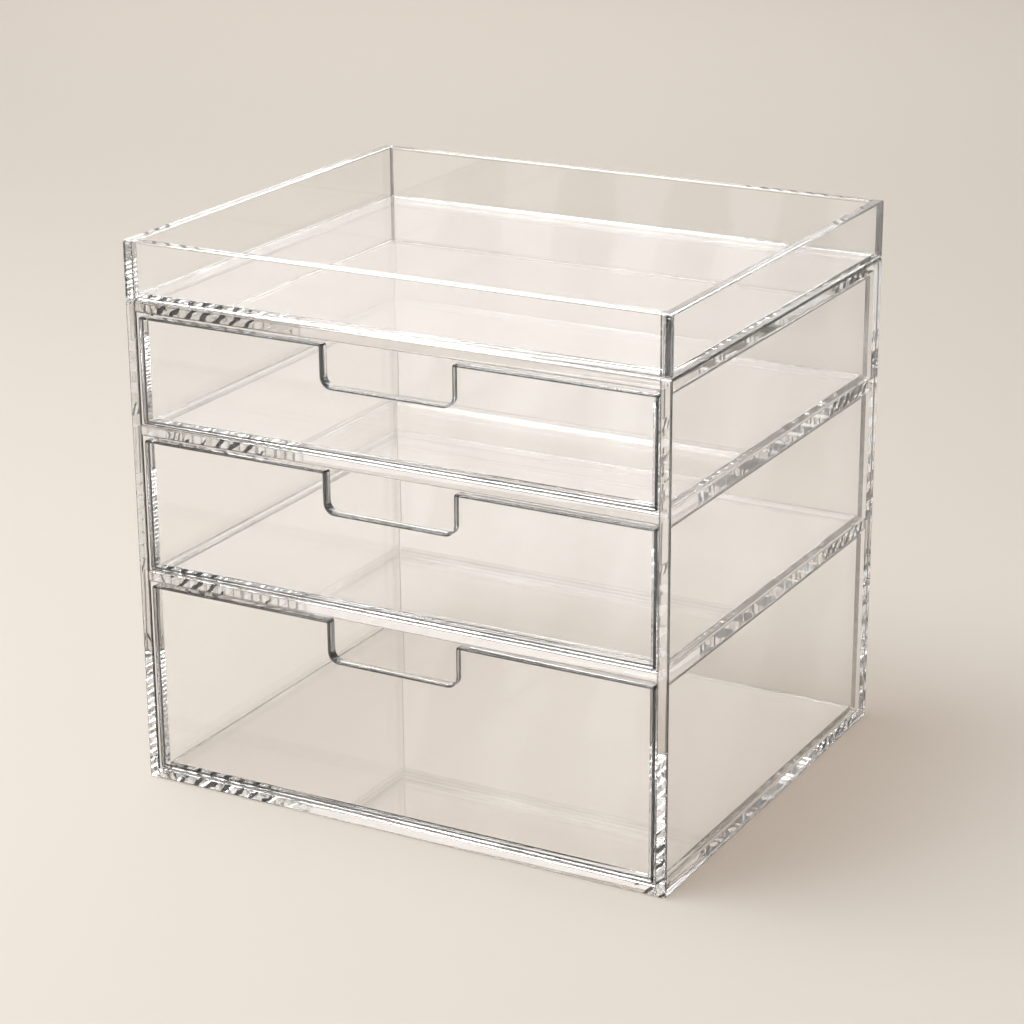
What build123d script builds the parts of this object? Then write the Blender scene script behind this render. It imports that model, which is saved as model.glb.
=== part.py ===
from build123d import *
import os

# A clear acrylic organizer for make-up: a housing with three drawers under a loose open tray.
# Every piece is a flat sheet, solvent-bonded face to face with its neighbours. Millimetres.
# The origin is the centre of the underside, +Z is up, and the drawers open towards -Y.

# Housing: its outside, and the clear height of the three bays that the drawers run in.
case_width = 300.0
case_depth = 250.0
case_sheet = 6.0
bottom_bay_height = 104.0
middle_bay_height = 72.0
top_bay_height = 58.0

# Tray: it covers the housing from edge to edge and rests on the top panel.
tray_height = 30.0
tray_wall_sheet = 6.0
tray_floor_sheet = 3.0
tray_rest_gap = 0.3

# Drawers: a thick front flush with the housing, and a box of thinner sheet behind it.
drawer_front_sheet = 6.0
drawer_wall_sheet = 4.0
drawer_floor_sheet = 3.0
drawer_side_clearance = 1.0
drawer_top_clearance = 2.0
drawer_rear_clearance = 2.0
drawer_glide_gap = 0.3
front_corner_radius = 1.5

# Finger notch in the top edge of each drawer front.
notch_width = 72.0
notch_depth = 21.0
notch_bottom_radius = 5.0
notch_lip_radius = 1.5

# Polished edges: the radius left on an edge that stays open to the air.
case_polish_radius = 1.0
drawer_polish_radius = 0.8
front_polish_radius = 1.2

# Heights of the housing's plates, from the underside up.
base_top = case_sheet
lower_shelf_bottom = base_top + bottom_bay_height
lower_shelf_top = lower_shelf_bottom + case_sheet
upper_shelf_bottom = lower_shelf_top + middle_bay_height
upper_shelf_top = upper_shelf_bottom + case_sheet
top_panel_bottom = upper_shelf_top + top_bay_height
case_height = top_panel_bottom + case_sheet

# The housing's inside, between the side panels and in front of the back panel.
inner_width = case_width - 2 * case_sheet
front_y = -case_depth / 2
rear_y = case_depth / 2
back_panel_front = rear_y - case_sheet
plate_depth = back_panel_front - front_y

# The tray's inside.
tray_bottom = case_height + tray_rest_gap
tray_inner_width = case_width - 2 * tray_wall_sheet
tray_inner_depth = case_depth - 2 * tray_wall_sheet

# The drawers' plan, the same for all three.
drawer_width = inner_width - 2 * drawer_side_clearance
drawer_inner_width = drawer_width - 2 * drawer_wall_sheet
drawer_box_front = front_y + drawer_front_sheet
drawer_rear = back_panel_front - drawer_rear_clearance
drawer_back_front = drawer_rear - drawer_wall_sheet

# Half the width that the notch takes up in a front's top edge, its rounded lips included.
notch_reach = notch_width / 2 + notch_lip_radius


def save(piece, name):
    """Labels a finished piece and writes its STEP file."""
    piece.part.label = name
    export_step(piece.part, f"parts/{name}.step")


def side_panel(inner_face_x, thickness):
    """A full-height side of the housing; a negative thickness builds towards -X."""
    with BuildPart() as panel:
        with BuildSketch(Plane.YZ.offset(inner_face_x)):
            Rectangle(case_depth, case_height, align=(Align.CENTER, Align.MIN))
        extrude(amount=thickness)
        fillet(panel.edges(), radius=case_polish_radius)
    return panel


def back_panel():
    """The housing's back, between the side panels and flush with their rear edges."""
    with BuildPart() as panel:
        with BuildSketch(Plane.XZ.offset(-back_panel_front)):
            Rectangle(inner_width, case_height, align=(Align.CENTER, Align.MIN))
        extrude(amount=-case_sheet)
        fillet(panel.edges().filter_by(Axis.X), radius=case_polish_radius)
    return panel


def plate(bottom_z):
    """A level plate of the housing, bonded to both side panels and to the back panel."""
    with BuildPart() as panel:
        with BuildSketch(Plane.XY.offset(bottom_z)):
            with Locations((0, front_y)):
                Rectangle(inner_width, plate_depth, align=(Align.CENTER, Align.MIN))
        extrude(amount=case_sheet)
        front_edges = panel.edges().filter_by(Axis.X).group_by(Axis.Y)[0]
        fillet(front_edges, radius=case_polish_radius)
    return panel


def tray_side_wall(inner_face_x, thickness):
    """A side of the tray, as deep as the housing; a negative thickness builds towards -X."""
    with BuildPart() as wall:
        with BuildSketch(Plane.YZ.offset(inner_face_x)):
            with Locations((0, tray_bottom)):
                Rectangle(case_depth, tray_height, align=(Align.CENTER, Align.MIN))
        extrude(amount=thickness)
        fillet(wall.edges(), radius=case_polish_radius)
    return wall


def tray_end_wall(outer_face_y, inward):
    """The tray's front or back wall, between its side walls; inward is +1 or -1 along Y."""
    with BuildPart() as wall:
        with BuildSketch(Plane.XZ.offset(-outer_face_y)):
            with Locations((0, tray_bottom)):
                Rectangle(tray_inner_width, tray_height, align=(Align.CENTER, Align.MIN))
        extrude(amount=-inward * tray_wall_sheet)
        fillet(wall.edges().filter_by(Axis.X), radius=case_polish_radius)
    return wall


def tray_floor():
    """The tray's floor, bonded inside its four walls and flush with their underside."""
    with BuildPart() as floor:
        with BuildSketch(Plane.XY.offset(tray_bottom)):
            Rectangle(tray_inner_width, tray_inner_depth)
        extrude(amount=tray_floor_sheet)
    return floor


def drawer_front(bottom_z, height):
    """A drawer front with its finger notch, all its open edges polished."""
    with BuildPart() as front:
        with BuildSketch(Plane.XZ.offset(-front_y)) as outline:
            with Locations((0, bottom_z)):
                Rectangle(drawer_width, height, align=(Align.CENTER, Align.MIN))
            fillet(outline.vertices(), radius=front_corner_radius)
            with Locations((0, bottom_z + height)):
                Rectangle(notch_width, notch_depth, align=(Align.CENTER, Align.MAX), mode=Mode.SUBTRACT)
            notch_corners = outline.vertices().filter_by_position(Axis.X, -notch_reach, notch_reach)
            fillet(notch_corners.group_by(Axis.Y)[0], radius=notch_bottom_radius)
            notch_lips = outline.vertices().filter_by_position(Axis.X, -notch_reach, notch_reach)
            fillet(notch_lips.group_by(Axis.Y)[-1], radius=notch_lip_radius)
        extrude(amount=-drawer_front_sheet)
        fillet(front.faces().filter_by(Axis.Y).edges(), radius=front_polish_radius)
    return front


def drawer_side_wall(inner_face_x, thickness, bottom_z, height):
    """A drawer's side, bonded to the back of its front; a negative thickness builds towards -X."""
    with BuildPart() as wall:
        with BuildSketch(Plane.YZ.offset(inner_face_x)):
            with Locations((drawer_box_front, bottom_z)):
                Rectangle(drawer_rear - drawer_box_front, height, align=(Align.MIN, Align.MIN))
        extrude(amount=thickness)
        bonded_end = wall.faces().sort_by(Axis.Y)[0]
        open_edges = [edge for edge in wall.edges() if edge not in bonded_end.edges()]
        fillet(open_edges, radius=drawer_polish_radius)
    return wall


def drawer_back(bottom_z, height):
    """A drawer's back, between its side walls."""
    with BuildPart() as wall:
        with BuildSketch(Plane.XZ.offset(-drawer_back_front)):
            with Locations((0, bottom_z)):
                Rectangle(drawer_inner_width, height, align=(Align.CENTER, Align.MIN))
        extrude(amount=-drawer_wall_sheet)
        fillet(wall.edges().filter_by(Axis.X), radius=drawer_polish_radius)
    return wall


def drawer_floor(bottom_z):
    """A drawer's floor, bonded between its front, back and side walls."""
    with BuildPart() as floor:
        with BuildSketch(Plane.XY.offset(bottom_z)):
            with Locations((0, drawer_box_front)):
                Rectangle(
                    drawer_inner_width,
                    drawer_back_front - drawer_box_front,
                    align=(Align.CENTER, Align.MIN),
                )
        extrude(amount=drawer_floor_sheet)
    return floor


def save_housing():
    """The housing: two sides, a back, a base, two shelves and a top."""
    save(side_panel(-inner_width / 2, -case_sheet), "left_side_panel")
    save(side_panel(inner_width / 2, case_sheet), "right_side_panel")
    save(back_panel(), "back_panel")
    save(plate(0), "base_panel")
    save(plate(lower_shelf_bottom), "lower_shelf")
    save(plate(upper_shelf_bottom), "upper_shelf")
    save(plate(top_panel_bottom), "top_panel")


def save_tray():
    """The loose tray: four walls round a floor."""
    save(tray_side_wall(-tray_inner_width / 2, -tray_wall_sheet), "tray_left_wall")
    save(tray_side_wall(tray_inner_width / 2, tray_wall_sheet), "tray_right_wall")
    save(tray_end_wall(front_y, 1), "tray_front_wall")
    save(tray_end_wall(rear_y, -1), "tray_back_wall")
    save(tray_floor(), "tray_floor")


def save_drawer(name, bay_bottom, bay_height):
    """One drawer: its front, its two sides, its back and its floor."""
    bottom_z = bay_bottom + drawer_glide_gap
    height = bay_height - drawer_glide_gap - drawer_top_clearance
    save(drawer_front(bottom_z, height), f"{name}_front")
    left_face = -drawer_inner_width / 2
    save(drawer_side_wall(left_face, -drawer_wall_sheet, bottom_z, height), f"{name}_left_wall")
    right_face = drawer_inner_width / 2
    save(drawer_side_wall(right_face, drawer_wall_sheet, bottom_z, height), f"{name}_right_wall")
    save(drawer_back(bottom_z, height), f"{name}_back")
    save(drawer_floor(bottom_z), f"{name}_floor")


os.makedirs("parts", exist_ok=True)
save_housing()
save_tray()
save_drawer("bottom_drawer", base_top, bottom_bay_height)
save_drawer("middle_drawer", lower_shelf_top, middle_bay_height)
save_drawer("top_drawer", upper_shelf_top, top_bay_height)
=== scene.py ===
from math import cos, pi, radians, sin

import bpy
from mathutils import Matrix, Vector


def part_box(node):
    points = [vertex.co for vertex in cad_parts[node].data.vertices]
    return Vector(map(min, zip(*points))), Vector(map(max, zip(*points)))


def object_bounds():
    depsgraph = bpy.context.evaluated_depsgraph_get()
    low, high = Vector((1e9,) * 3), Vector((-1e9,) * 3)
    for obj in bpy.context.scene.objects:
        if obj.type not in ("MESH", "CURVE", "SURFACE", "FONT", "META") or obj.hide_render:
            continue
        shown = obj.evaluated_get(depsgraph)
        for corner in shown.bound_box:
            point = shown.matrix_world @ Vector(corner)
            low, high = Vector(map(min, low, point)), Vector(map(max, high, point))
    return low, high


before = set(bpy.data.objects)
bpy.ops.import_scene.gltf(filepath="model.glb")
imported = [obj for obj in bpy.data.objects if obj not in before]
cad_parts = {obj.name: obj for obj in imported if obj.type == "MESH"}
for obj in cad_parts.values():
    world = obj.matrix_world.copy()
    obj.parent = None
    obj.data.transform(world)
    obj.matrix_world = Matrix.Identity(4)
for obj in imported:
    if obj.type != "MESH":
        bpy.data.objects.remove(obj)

loaded_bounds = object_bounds()

# Lengths are in metres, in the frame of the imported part. A pair of numbers says where a change begins
# and where it is complete.

# How bonded sheets meet: vertices closer than the weld are one, the edges of the seams are eased,
# and each sheet laps a little into its neighbour, so that no film of air is left between them.
WELD_REACH = 0.000002
SEAM_BEVEL = 0.0004
SEAM_SEGMENTS = 2
SEAM_ANGLE = radians(60)
BOND_LAP = 0.00001

# The camera, as fitted to the outer corners of the object in the photograph, whose pixels measure its
# focal length.
CASE_WIDTH = round(loaded_bounds[1][0] - loaded_bounds[0][0], 4)
CAMERA_AZIMUTH = radians(28.985)
CAMERA_ELEVATION = radians(19.389)
CAMERA_ROLL = radians(-0.411)
CAMERA_DISTANCE = 5.1036 * CASE_WIDTH
CAMERA_SHIFT_X = 0.00704 * CASE_WIDTH
CAMERA_SHIFT_Y = -0.41588 * CASE_WIDTH
CAMERA_REACH = 100.0
PHOTO_PIXELS = 1024
FOCAL_PIXELS = 2853.8
SENSOR_WIDTH = 36.0
LENS = SENSOR_WIDTH * FOCAL_PIXELS / PHOTO_PIXELS

# The acrylic's index of refraction, the tint of its clear faces, and the near-black of the painted shade on
# its edges.
ACRYLIC_IOR = 1.49
CLEAR = (1.0, 1.0, 1.0, 1.0)
PAINTED_EDGE_SHADE = (0.002, 0.003, 0.004, 1.0)

# Painted shade on the polished roundings, from clear at 0 to black at 1: facing up, level and down. It
# stands for the dark edge lines that refraction gives; the upward roundings are left clear to keep their
# highlights.
ROUNDING_SHADE_TINTS = {
    "tray": (0.05, 0.88, 0.15),
    "housing": (0.08, 0.90, 0.60),
    "drawer_wall": (0.30, 0.85, 0.85),
    "drawer_front": (0.98, 0.985, 0.98),
}

# A normal tells what its face is. Its largest component grows from a rounding's to a flat face's, its rise
# from that of a face that looks sideways to that of one that looks up, and its component across the sheet
# from an edge's to a broad face's. On an end face the component along the sheet is near 1.
ROUND_TO_FLAT = (0.985, 0.997)
LEVEL_RISE = 0.1
UPWARD_RISE = 0.3
EDGE_TO_BROAD = (0.3, 0.9)
END_FACE = (0.90, 0.95)

# Painted shade: slanted dark strokes in the edges, standing for the dark dashes of light turned back inside
# the sheets, which lean as diagonal bands mirrored in Z. Their place goes by x times y, in square metres,
# which is 0.01875 at the front left and back right corners and -0.01875 at the other two.
STROKE_PITCH = 0.0087
STROKE_MIRROR = (1.0, 1.0, -1.0)
STROKE_WARP = {"Distortion": 2.0, "Detail": 1.0, "Detail Scale": 3.0}
STROKE_TINT = 0.99
STROKE_DEPTH = (0.62, 0.72)
STROKES_SET_IN = (0.006, 0.010)
NEAR_POSTS = (0.0162, 0.0168)
NEAR_POST_SHARE = 0.25
OTHER_POSTS = (-0.0168, -0.0160)
POST_FOOT_HEIGHT = (0.03, 0.07)
POST_FOOT_SHARE = 0.80
PATCH_SCALE = 22.0
PATCH_EDGE = (0.34, 0.47)
SHARE_BETWEEN_PATCHES = 0.15

# How dark the upright streaks of painted shade are on the end faces of upright sheets, by kind and axis:
# they stand for the dark bands that the posts show by refraction and internal reflection.
STREAK_SHADE_TINTS = {
    ("tray", "X"): 0.96,
    ("tray", "Y"): 0.70,
    ("housing", "Y"): 0.35,
    ("drawer_front", "Y"): 0.85,
}
STREAK_STRETCH = (300.0, 300.0, 14.0)
STREAK_EDGE = (0.46, 0.52)

# The ripples of the bump: how deep they are, and roughly how many there are to a metre in the faces, and
# in the edges along the sheet and across it.
RELIEF_DEPTH = 0.00003
FACE_RIPPLES = 9.0
EDGE_RIPPLES_ALONG = 330.0
EDGE_RIPPLES_ACROSS = 60.0
EDGE_RIPPLES_SLANT = 0.35
EDGE_RIPPLES_SHARE = 0.5

# The share of a lamp's light that each face passes on to the floor, by the axis the sheet lies across, the
# share that a rounding passes, and the share that a face passes of the light that the floor gathers
# from all round.
FILM_TONES = {
    "X": (0.79, 0.77, 0.75, 1.0),
    "Y": (0.85, 0.835, 0.82, 1.0),
    "Z": (0.995, 0.995, 0.995, 1.0),
}
EDGE_SHADOW = (0.3, 0.28, 0.26, 1.0)
BOUNCE_TONE = (0.99, 0.985, 0.98, 1.0)

# The studio: its floor, and what stands round it.
PALE = (0.78, 0.742, 0.688, 1.0)
FLOOR_REACH = 7.0
FLOOR_DROP = 0.0003
CARDS_CENTRE = (0.0, 0.0, 0.15)
STRIPE_PITCH = 0.22
STRIPE_WARP = {"Distortion": 1.5, "Detail": 1.0, "Detail Scale": 4.0}
STRIPE_EDGE = (0.55, 0.60)

# The sheen of the floor in front of the case, which fades between two places along Y, next to the case.
SHEEN_COLOUR = (1.0, 0.955, 0.90, 1.0)
SHEEN_CENTRE = (-0.3, -1.0, 0.001)
SHEEN_HALF_WIDTH = 0.8
SHEEN_HALF_DEPTH = 0.62
SHEEN_FADE = (-0.55, -0.38)
SHEEN_FAR = 1.10
SHEEN_NEAR = 0.85

# The room that the acrylic mirrors. Its lamps and windows hang halfway up, between two rises of the view.
ROOM_COLOUR = (1.0, 0.90, 0.80, 1.0)
ROOM_STRENGTH = 0.40
ROOM_SHARE_FOR_FLOOR = 0.60
LAMPS_FROM = (0.50, 0.56)
LAMPS_UP_TO = (0.84, 0.90)
LAMP_SCALE = 14.0
LAMP_DETAIL = 2.0
LAMP_EDGE = (0.55, 0.60)
LAMP_DARK = 0.015
LAMP_BRIGHT = 1.5

GLASS_BOUNCES = 48
FILM_BOUNCES = 96
FLOOR_BOUNCES = 3


def linked_node(tree, kind, inputs=None, **settings):
    """A new node with its settings, each input given as a value or as the socket to link."""
    node = tree.nodes.new(kind)
    for name, value in settings.items():
        setattr(node, name, value)
    for name, value in (inputs or {}).items():
        if isinstance(value, bpy.types.NodeSocket):
            tree.links.new(value, node.inputs[name])
        else:
            node.inputs[name].default_value = value
    return node


def maths(tree, operation, *values):
    """One Math node; its inputs are sockets or numbers."""
    return linked_node(tree, "ShaderNodeMath", dict(enumerate(values)), operation=operation).outputs[0]


def ramp(tree, value, low, high, to_low=0.0, to_high=1.0):
    """A clamped straight ramp from to_low at low to to_high at high."""
    limits = {"Value": value, "From Min": low, "From Max": high, "To Min": to_low, "To Max": to_high}
    return linked_node(tree, "ShaderNodeMapRange", limits).outputs["Result"]


def noise(tree, place, scale, detail=1.0):
    """The value of a smooth noise at a place."""
    inputs = {"Vector": place, "Scale": scale, "Detail": detail, "Roughness": 0.5}
    return linked_node(tree, "ShaderNodeTexNoise", inputs).outputs["Fac"]


def blend(tree, share, first, second):
    """The colour between two, by the share of the second."""
    mixed = linked_node(tree, "ShaderNodeMix", {0: share, 6: first, 7: second}, data_type="RGBA")
    return mixed.outputs[2]


def stretched(tree, place, scale, turn=(0.0, 0.0, 0.0)):
    """A place stretched and then turned, for a texture that runs finer along some axes than along others."""
    inputs = {"Vector": place, "Rotation": turn, "Scale": scale}
    return linked_node(tree, "ShaderNodeMapping", inputs, vector_type="POINT").outputs["Vector"]


def bands(tree, place, pitch, warp, direction):
    """The value of a row of warped bands, a pitch apart."""
    inputs = {"Vector": place, "Scale": 0.2 * pi / pitch, **warp}
    wave = linked_node(tree, "ShaderNodeTexWave", inputs, wave_type="BANDS", bands_direction=direction)
    return wave.outputs["Fac"]


def components(tree, vector):
    """The three components of a vector."""
    return linked_node(tree, "ShaderNodeSeparateXYZ", {"Vector": vector}).outputs


def component_sizes(tree, vector):
    """The three components of a vector, without their signs."""
    unsigned = linked_node(tree, "ShaderNodeVectorMath", {0: vector}, operation="ABSOLUTE")
    return components(tree, unsigned.outputs[0])


def fresh_tree(owner):
    """The emptied node tree of a material or a world."""
    owner.use_nodes = True
    owner.node_tree.nodes.clear()
    return owner.node_tree


def rounding_shade(tree, normal, facing, up_tint, level_tint, down_tint):
    """The painted shade where a face is square to no axis, as only a rounded or eased edge is, and 0
    elsewhere.
    """
    level = maths(tree, "MAXIMUM", facing["X"], facing["Y"])
    squarest = maths(tree, "MAXIMUM", level, facing["Z"])
    rise = components(tree, normal)["Z"]
    over = ramp(tree, rise, LEVEL_RISE, UPWARD_RISE, level_tint, up_tint)
    under = ramp(tree, rise, -UPWARD_RISE, -LEVEL_RISE, down_tint, level_tint)
    tint = maths(tree, "MINIMUM", over, under)
    return maths(tree, "MULTIPLY", ramp(tree, squarest, *ROUND_TO_FLAT, 1.0, 0.0), tint)


def share_of_strokes(tree, place):
    """How far the strokes of painted shade show: whole in the level edges near the front left and back right
    corners, less in the posts at these corners, and again at the foot of the posts at the other two."""
    along = components(tree, place)
    to_corner = maths(tree, "MULTIPLY", along["X"], along["Y"])
    begun = ramp(tree, to_corner, *STROKES_SET_IN)
    past = ramp(tree, to_corner, *NEAR_POSTS, 1.0, NEAR_POST_SHARE)
    foot = ramp(tree, along["Z"], *POST_FOOT_HEIGHT, POST_FOOT_SHARE, 0.0)
    on_others = maths(tree, "MULTIPLY", ramp(tree, to_corner, *OTHER_POSTS, 1.0, 0.0), foot)
    return maths(tree, "MAXIMUM", maths(tree, "MULTIPLY", begun, past), on_others)


def painted_shade_strokes(tree, place, on_edge):
    """The painted shade of slanted dark strokes in the edges, in patches, for the dashes of light turned
    back inside.
    """
    stroke_bands = bands(tree, stretched(tree, place, STROKE_MIRROR), STROKE_PITCH, STROKE_WARP, "DIAGONAL")
    patchy = ramp(tree, noise(tree, place, PATCH_SCALE), *PATCH_EDGE, SHARE_BETWEEN_PATCHES, 1.0)
    there = maths(tree, "MULTIPLY", share_of_strokes(tree, place), patchy)
    on_stroked_edge = maths(tree, "MULTIPLY", there, on_edge)
    depth = maths(tree, "MULTIPLY", stroke_bands, on_stroked_edge)
    return ramp(tree, depth, *STROKE_DEPTH, 0.0, STROKE_TINT)


def shade_streaks(tree, place, facing, sheet_axis):
    """1 in upright streaks of painted shade on the end faces of an upright sheet."""
    spread = stretched(tree, place, STREAK_STRETCH)
    streaks = ramp(tree, noise(tree, spread, scale=1.0), *STREAK_EDGE)
    on_end = ramp(tree, facing["Y" if sheet_axis == "X" else "X"], *END_FACE)
    return maths(tree, "MULTIPLY", streaks, on_end)


def polish_relief(tree, place, sheet_axis, on_edge):
    """Bump for the long ripples of the sheet's faces and the short ones of its edges."""
    ripples = [EDGE_RIPPLES_ALONG] * 3
    ripples["XYZ".index(sheet_axis)] = EDGE_RIPPLES_ACROSS
    spread = stretched(tree, place, ripples, [EDGE_RIPPLES_SLANT] * 3)
    marks = maths(tree, "MULTIPLY", noise(tree, spread, scale=1.0), on_edge)
    height = maths(tree, "MULTIPLY_ADD", marks, EDGE_RIPPLES_SHARE, noise(tree, place, FACE_RIPPLES))
    relief = {"Strength": 1.0, "Distance": RELIEF_DEPTH, "Height": height}
    return linked_node(tree, "ShaderNodeBump", relief).outputs["Normal"]


def acrylic(kind, sheet_axis):
    """Clear polished sheet, seen through as glass, with painted shade on its edges, that shades the floor as
    a thin film would.
    """
    material = bpy.data.materials.new(f"{kind}_acrylic_across_{sheet_axis.lower()}")
    tree = fresh_tree(material)
    point = linked_node(tree, "ShaderNodeTexCoord")
    place = point.outputs["Object"]
    normal = point.outputs["Normal"]
    facing = component_sizes(tree, normal)
    on_edge = ramp(tree, facing[sheet_axis], *EDGE_TO_BROAD, 1.0, 0.0)
    # Painted shade on the roundings, by whether they face up, level or down.
    rounded = rounding_shade(tree, normal, facing, *ROUNDING_SHADE_TINTS[kind])
    # Painted shade in the edges: slanted dark strokes for the dashes of light turned back inside the sheets.
    dark = maths(tree, "MAXIMUM", rounded, painted_shade_strokes(tree, place, on_edge))
    # Painted shade on the end faces of the posts: dark upright streaks.
    if (kind, sheet_axis) in STREAK_SHADE_TINTS:
        streaks = shade_streaks(tree, place, facing, sheet_axis)
        streaked = maths(tree, "MULTIPLY", streaks, STREAK_SHADE_TINTS[kind, sheet_axis])
        dark = maths(tree, "MAXIMUM", dark, streaked)
    glass = {
        # The base colour is clear, with the painted shade of the roundings, strokes and streaks.
        "Base Color": blend(tree, dark, CLEAR, PAINTED_EDGE_SHADE),
        "Roughness": 0.0,
        "IOR": ACRYLIC_IOR,
        "Transmission Weight": 1.0,
        "Normal": polish_relief(tree, place, sheet_axis, on_edge),
    }
    clear = linked_node(tree, "ShaderNodeBsdfPrincipled", glass)
    ray = linked_node(tree, "ShaderNodeLightPath").outputs
    shadow = blend(tree, rounded, FILM_TONES[sheet_axis], EDGE_SHADOW)
    passing = blend(tree, ray["Is Shadow Ray"], BOUNCE_TONE, shadow)
    film = linked_node(tree, "ShaderNodeBsdfTransparent", {"Color": passing})
    shading = maths(tree, "MAXIMUM", ray["Is Shadow Ray"], ray["Is Diffuse Ray"])
    surfaces = {"Fac": shading, 1: clear.outputs["BSDF"], 2: film.outputs["BSDF"]}
    surface = linked_node(tree, "ShaderNodeMixShader", surfaces).outputs[0]
    linked_node(tree, "ShaderNodeOutputMaterial", {"Surface": surface})
    return material


def sheet_axis_of(node):
    """The axis that a sheet is thinnest along."""
    low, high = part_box(node)
    size = high - low
    return min("XYZ", key=lambda axis: size["XYZ".index(axis)])


def kind_of(node):
    """The kind of sheet that a node is, by its name."""
    if "drawer" in node:
        return "drawer_front" if node.endswith("front") else "drawer_wall"
    return "tray" if node.startswith("tray") else "housing"


def dress(piece, material):
    """Gives a sheet its material, and laps it into the sheets it is bonded to."""
    piece.data.materials.clear()
    piece.data.materials.append(material)
    weld = piece.modifiers.new("weld", "WELD")
    weld.merge_threshold = WELD_REACH
    ease = piece.modifiers.new("ease", "BEVEL")
    ease.width = SEAM_BEVEL
    ease.segments = SEAM_SEGMENTS
    ease.limit_method = "ANGLE"
    ease.angle_limit = SEAM_ANGLE
    ease.use_clamp_overlap = True
    lap = piece.modifiers.new("lap", "DISPLACE")
    lap.strength = BOND_LAP
    lap.mid_level = 0.0


def dress_sheets():
    """Every sheet of the part, in the acrylic of its kind and axis."""
    materials = {}
    for node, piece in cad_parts.items():
        make = (kind_of(node), sheet_axis_of(node))
        if make not in materials:
            materials[make] = acrylic(*make)
        dress(piece, materials[make])


def glow(tree, colour, strength):
    """Ends a material's tree in a plain glow."""
    light = linked_node(tree, "ShaderNodeEmission", {"Color": colour, "Strength": strength})
    linked_node(tree, "ShaderNodeOutputMaterial", {"Surface": light.outputs[0]})


def plain_glow(name, colour, strength):
    """An even glow."""
    material = bpy.data.materials.new(name)
    glow(fresh_tree(material), colour, strength)
    return material


def striped_glow(name, low, high):
    """Upright light and dark stripes, as a row of cards and stands in the studio."""
    material = bpy.data.materials.new(name)
    tree = fresh_tree(material)
    place = linked_node(tree, "ShaderNodeTexCoord").outputs["Object"]
    stripes = bands(tree, place, STRIPE_PITCH, STRIPE_WARP, "X")
    glow(tree, CLEAR, ramp(tree, stripes, *STRIPE_EDGE, low, high))
    return material


def sheen_glow():
    """The glow of the floor in front of the case, brighter farther out, which the upright sheets mirror."""
    material = bpy.data.materials.new("front_sheen")
    tree = fresh_tree(material)
    place = linked_node(tree, "ShaderNodeTexCoord").outputs["Object"]
    towards_case = components(tree, place)["Y"]
    glow(tree, SHEEN_COLOUR, ramp(tree, towards_case, *SHEEN_FADE, SHEEN_FAR, SHEEN_NEAR))
    return material


def floor_material():
    """The pale matt floor."""
    material = bpy.data.materials.new("studio_floor")
    tree = fresh_tree(material)
    matt = {"Base Color": PALE, "Roughness": 1.0, "Specular IOR Level": 0.0}
    surface = linked_node(tree, "ShaderNodeBsdfPrincipled", matt)
    linked_node(tree, "ShaderNodeOutputMaterial", {"Surface": surface.outputs["BSDF"]})
    return material


def plane(name, centre, side, rise, material):
    """A flat staged board: its centre, and the two vectors from there to the middles of its sides."""
    mesh = bpy.data.meshes.new(name)
    corners = [centre - side - rise, centre + side - rise, centre + side + rise, centre - side + rise]
    mesh.from_pydata(corners, [], [(0, 1, 2, 3)])
    mesh.materials.append(material)
    made = bpy.data.objects.new(name, mesh)
    bpy.context.scene.collection.objects.link(made)
    return made


def area_light(name, place, aim, width, height, power, colour):
    """A softbox, aimed at a point; the power is in watts."""
    data = bpy.data.lights.new(name, "AREA")
    data.shape = "RECTANGLE"
    data.size = width
    data.size_y = height
    data.energy = power
    data.color = colour
    made = bpy.data.objects.new(name, data)
    made.location = place
    made.rotation_mode = "QUATERNION"
    made.rotation_quaternion = (Vector(aim) - Vector(place)).to_track_quat("-Z", "Y")
    bpy.context.scene.collection.objects.link(made)
    made.visible_camera = False
    return made


def glow_board(name, azimuth, height, reach, width, colour, strength):
    """An upright glowing board on the floor; the azimuth is 0 behind the object and grows towards +X."""
    turn = radians(azimuth)
    centre = Vector((sin(turn) * reach, cos(turn) * reach, height / 2))
    side = Vector((cos(turn), -sin(turn), 0)) * (width / 2)
    made = plane(name, centre, side, Vector((0, 0, height / 2)), plain_glow(name, colour, strength))
    made.visible_camera = False


def show_in_acrylic_alone(board):
    """Hides a board from the camera and the floor, so that only the acrylic shows it."""
    board.visible_camera = False
    board.visible_diffuse = False
    board.visible_shadow = False


def edge_card(name, towards, reach, width, height, material):
    """A card that only the acrylic shows, some way out from the object and square to that direction."""
    direction = Vector(towards).normalized()
    side = direction.cross(Vector((0, 0, 1))).normalized() * (width / 2)
    rise = side.cross(direction).normalized() * (height / 2)
    centre = Vector(CARDS_CENTRE) + direction * reach
    show_in_acrylic_alone(plane(name, centre, side, rise, material))


def add_floor():
    """The studio's floor."""
    plane(
        "studio_floor",
        centre=Vector((0, 0, -FLOOR_DROP)),
        side=Vector((FLOOR_REACH, 0, 0)),
        rise=Vector((0, FLOOR_REACH, 0)),
        material=floor_material(),
    )


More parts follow.
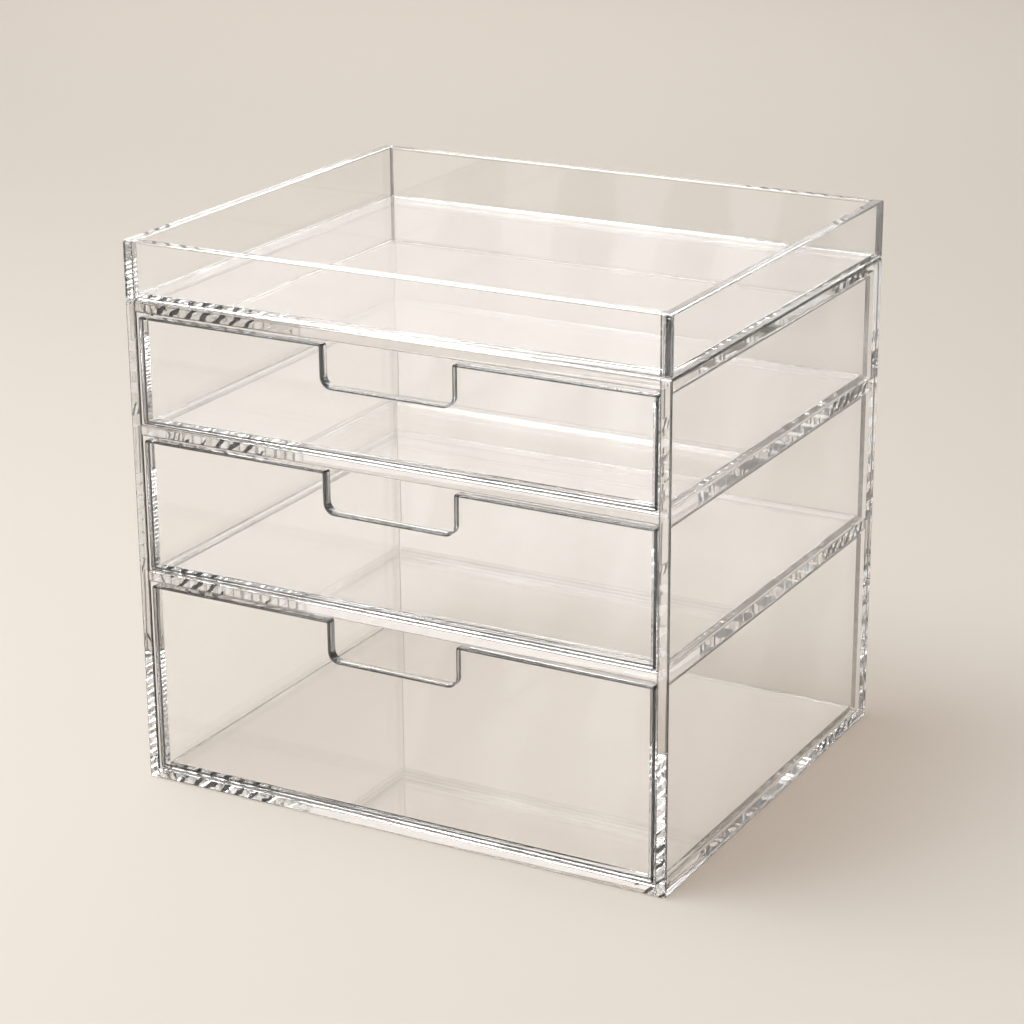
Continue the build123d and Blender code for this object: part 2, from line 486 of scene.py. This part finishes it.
def add_lights():
    """The key from above on the left, a fill over the floor in front of the case, and the light and the
    glowing board behind it."""
    area_light(
        "key_softbox", place=(-0.74, -0.52, 2.2), aim=(0.0, 0.0, 0.1),
        width=1.5, height=1.5, power=44.3, colour=(1.01, 1.0, 1.0),
    )
    area_light(
        "top_softbox", place=(-0.1, -0.9, 2.3), aim=(-0.1, -0.9, 0.0),
        width=1.6, height=1.3, power=9.0, colour=(1.0, 0.95, 0.90),
    )
    back = area_light(
        "backdrop_light", place=(-1.1, 1.9, 1.2), aim=(-1.1, 1.9, 0.0),
        width=2.2, height=1.0, power=6.3, colour=(1.0, 0.96, 0.92),
    )
    back.visible_glossy = False
    back.visible_transmission = False
    glow_board(
        "backdrop_board", azimuth=-33, height=1.9, reach=3.0, width=4.2,
        colour=(0.93, 0.865, 0.81, 1.0), strength=1.03,
    )


def add_sheen():
    """The sheen in front of the case."""
    sheen = plane(
        "front_sheen",
        centre=Vector(SHEEN_CENTRE),
        side=Vector((SHEEN_HALF_WIDTH, 0, 0)),
        rise=Vector((0, SHEEN_HALF_DEPTH, 0)),
        material=sheen_glow(),
    )
    show_in_acrylic_alone(sheen)


def add_cards():
    """The cards that the acrylic mirrors. A view that is turned back inside the sheets leaves them in the
    camera's own direction with some of its signs changed, and the cards stand in these directions."""
    rim_glow = plain_glow("rim_glow", CLEAR, 15.0)
    edge_card(
        "rim_card_across", towards=(-0.457, 0.45, 0.77), reach=2.0, width=1.6, height=0.75,
        material=rim_glow,
    )
    edge_card(
        "rim_card_along", towards=(0.0, 0.825, 0.565), reach=2.2, width=1.8, height=0.5,
        material=rim_glow,
    )
    edge_card(
        "back_right_card", towards=(0.457, 0.825, 0.36), reach=1.6, width=1.3, height=0.9,
        material=plain_glow("plain_card", PALE, 1.0),
    )
    edge_card(
        "front_left_card", towards=(-0.457, -0.825, 0.36), reach=1.6, width=0.85, height=0.75,
        material=striped_glow("striped_card", 0.15, 1.1),
    )


def add_world():
    """A dim room with lamps and windows halfway up, which give the edges their glints."""
    world = bpy.data.worlds.new("studio")
    bpy.context.scene.world = world
    tree = fresh_tree(world)
    view = linked_node(tree, "ShaderNodeTexCoord").outputs["Generated"]
    lamps = ramp(tree, noise(tree, view, LAMP_SCALE, LAMP_DETAIL), *LAMP_EDGE, LAMP_DARK, LAMP_BRIGHT)
    rise = components(tree, view)["Z"]
    below_top = ramp(tree, rise, *LAMPS_UP_TO, 1.0, 0.0)
    halfway = maths(tree, "MULTIPLY", ramp(tree, rise, *LAMPS_FROM), below_top)
    strength = linked_node(tree, "ShaderNodeMix", {0: halfway, 2: ROOM_STRENGTH, 3: lamps}).outputs[0]
    for_floor = linked_node(tree, "ShaderNodeLightPath").outputs["Is Diffuse Ray"]
    share = ramp(tree, for_floor, 0.0, 1.0, 1.0, ROOM_SHARE_FOR_FLOOR)
    room = {"Color": ROOM_COLOUR, "Strength": maths(tree, "MULTIPLY", strength, share)}
    sky = linked_node(tree, "ShaderNodeBackground", room)
    linked_node(tree, "ShaderNodeOutputWorld", {"Surface": sky.outputs[0]})


def add_camera():
    """The camera at the photograph's angle, shifted so that the object lies where it does there."""
    back = Vector((
        sin(CAMERA_AZIMUTH) * cos(CAMERA_ELEVATION),
        -cos(CAMERA_AZIMUTH) * cos(CAMERA_ELEVATION),
        sin(CAMERA_ELEVATION),
    ))
    level_right = (-back).cross(Vector((0, 0, 1))).normalized()
    level_up = level_right.cross(-back)
    right = cos(CAMERA_ROLL) * level_right + sin(CAMERA_ROLL) * level_up
    up = cos(CAMERA_ROLL) * level_up - sin(CAMERA_ROLL) * level_right
    place = CAMERA_DISTANCE * back - CAMERA_SHIFT_X * right - CAMERA_SHIFT_Y * up
    data = bpy.data.cameras.new("camera")
    data.sensor_width = SENSOR_WIDTH
    data.lens = LENS
    data.clip_end = CAMERA_REACH
    made = bpy.data.objects.new("camera", data)
    axes = Matrix((right, up, back)).transposed()
    made.matrix_world = Matrix.Translation(place) @ axes.to_4x4()
    bpy.context.scene.collection.objects.link(made)
    bpy.context.scene.camera = made


def set_view_and_bounces():
    """Standard colours, enough bounces for the stacked sheets, no caustics, and a denoised result."""
    scene = bpy.context.scene
    scene.view_settings.view_transform = "Standard"
    scene.cycles.max_bounces = GLASS_BOUNCES
    scene.cycles.transmission_bounces = GLASS_BOUNCES
    scene.cycles.glossy_bounces = GLASS_BOUNCES
    scene.cycles.transparent_max_bounces = FILM_BOUNCES
    scene.cycles.diffuse_bounces = FLOOR_BOUNCES
    scene.cycles.caustics_reflective = False
    scene.cycles.caustics_refractive = False
    scene.cycles.use_denoising = True


dress_sheets()
add_floor()
add_lights()
add_cards()
add_sheen()
add_world()
add_camera()
set_view_and_bounces()
